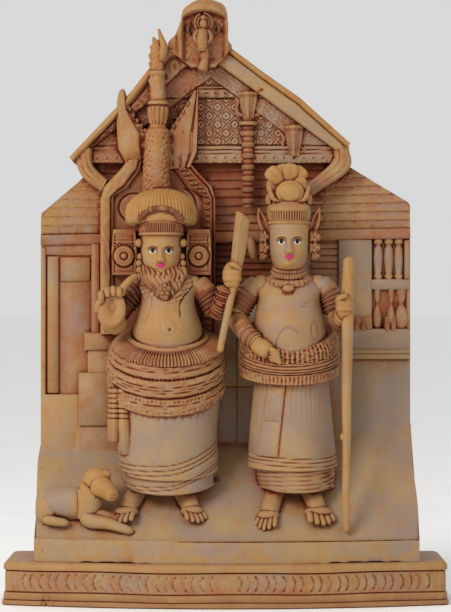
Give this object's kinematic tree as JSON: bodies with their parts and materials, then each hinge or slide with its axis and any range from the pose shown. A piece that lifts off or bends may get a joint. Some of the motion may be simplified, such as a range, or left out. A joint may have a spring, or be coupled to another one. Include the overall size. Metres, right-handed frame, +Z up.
{
  "type": "muthappan idol",
  "caption": "Small cast shrine idol: a bearded crowned figure and a second figure with a staff stand with a resting dog before a gabled shrine front, on a moulded plinth.",
  "frame": {"origin": "under the middle of the plinth, on the surface it stands on", "axes": "+X to the viewer's right, +Y to the back, +Z up; the figures face -Y"},
  "size_m": [0.1524, 0.058, 0.2073],
  "materials": {
    "tinted_resin": "ivory cast resin with marble dust, dark red-brown wash in the recesses, painted brows, eyes and lips",
    "plinth_resin": "ivory cast resin with marble dust, ochre and red-brown wash in the frieze"
  },
  "bodies": {
    "root": {"shrine_casting": "tinted_resin", "plinth": "plinth_resin"}
  },
  "joints": []
}
